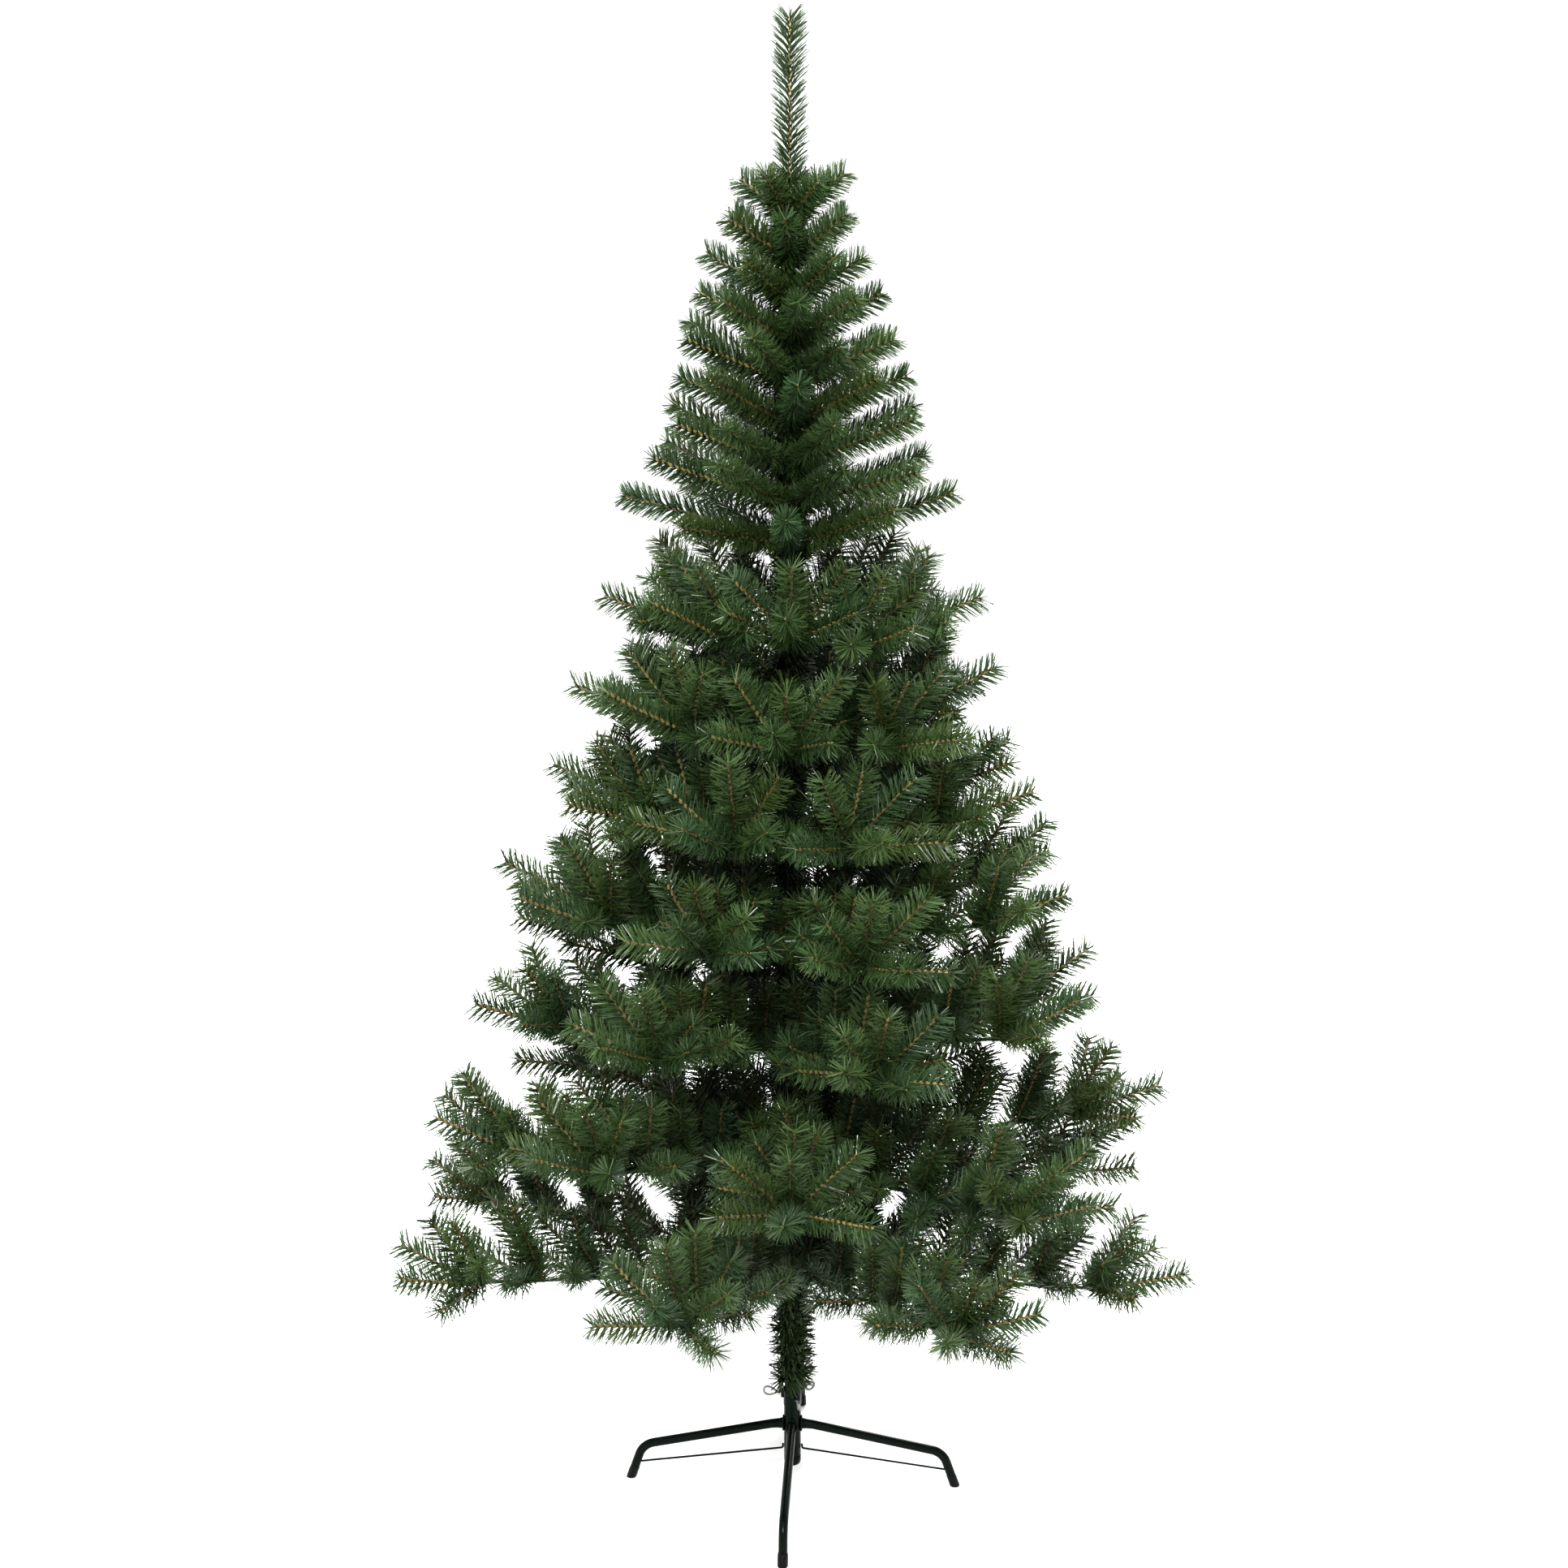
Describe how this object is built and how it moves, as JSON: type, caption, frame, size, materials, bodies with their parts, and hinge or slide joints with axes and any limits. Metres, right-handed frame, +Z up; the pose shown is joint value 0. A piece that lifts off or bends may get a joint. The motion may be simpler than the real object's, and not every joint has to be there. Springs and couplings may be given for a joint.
{
  "type": "artificial spruce tree",
  "caption": "Artificial spruce tree on a metal stand with splayed legs: a steel pole with whorls of wire boughs that carry sprays of green needles.",
  "frame": {"origin": "on the floor, on the pole's axis, at the middle of the stand", "axes": "+Z up along the pole, -Y towards the front of the tree"},
  "size_m": [0.9288, 0.93, 1.8],
  "materials": {
    "green_paint": "glossy dark green powder paint on steel tube",
    "wrapped_wire": "blackish green plastic strip wound round a steel wire",
    "needles": "cut green film needles twisted in brown wire",
    "black_rubber": "matt black foot caps",
    "zinc": "zinc plated steel wire"
  },
  "bodies": {
    "root": {"socket_tube": "green_paint", "leg_1": "green_paint", "leg_2": "green_paint", "leg_3": "green_paint", "leg_4": "green_paint", "foot_cap_1": "black_rubber", "foot_cap_2": "black_rubber", "foot_cap_3": "black_rubber", "foot_cap_4": "black_rubber", "brace_1": "green_paint", "brace_2": "green_paint", "brace_3": "green_paint", "brace_4": "green_paint", "eye_bolt_1": "zinc", "eye_bolt_2": "zinc", "eye_bolt_3": "zinc", "pole": "green_paint", "garland": "needles", "bough_6_1": "wrapped_wire", "bough_6_2": "wrapped_wire", "bough_6_3": "wrapped_wire", "bough_6_4": "wrapped_wire", "bough_6_5": "wrapped_wire", "bough_6_6": "wrapped_wire", "bough_6_7": "wrapped_wire", "bough_6_8": "wrapped_wire", "bough_7_1": "wrapped_wire", "bough_7_2": "wrapped_wire", "bough_7_3": "wrapped_wire", "bough_7_4": "wrapped_wire", "bough_7_5": "wrapped_wire", "bough_7_6": "wrapped_wire", "bough_7_7": "wrapped_wire", "bough_7_8": "wrapped_wire", "mass_6_1": "needles", "mass_6_2": "needles", "mass_6_3": "needles", "mass_6_4": "needles", "mass_6_5": "needles", "mass_6_6": "needles", "mass_6_7": "needles", "mass_6_8": "needles", "mass_7_1": "needles", "mass_7_2": "needles", "mass_7_3": "needles", "mass_7_4": "needles", "mass_7_5": "needles", "mass_7_6": "needles", "mass_7_7": "needles", "mass_7_8": "needles", "whorl_mass_1": "needles", "whorl_mass_2": "needles", "whorl_mass_3": "needles", "whorl_mass_4": "needles", "whorl_mass_5": "needles", "upper_mass_1": "needles", "upper_mass_2": "needles", "upper_mass_3": "needles", "leader": "needles"}
  },
  "joints": []
}
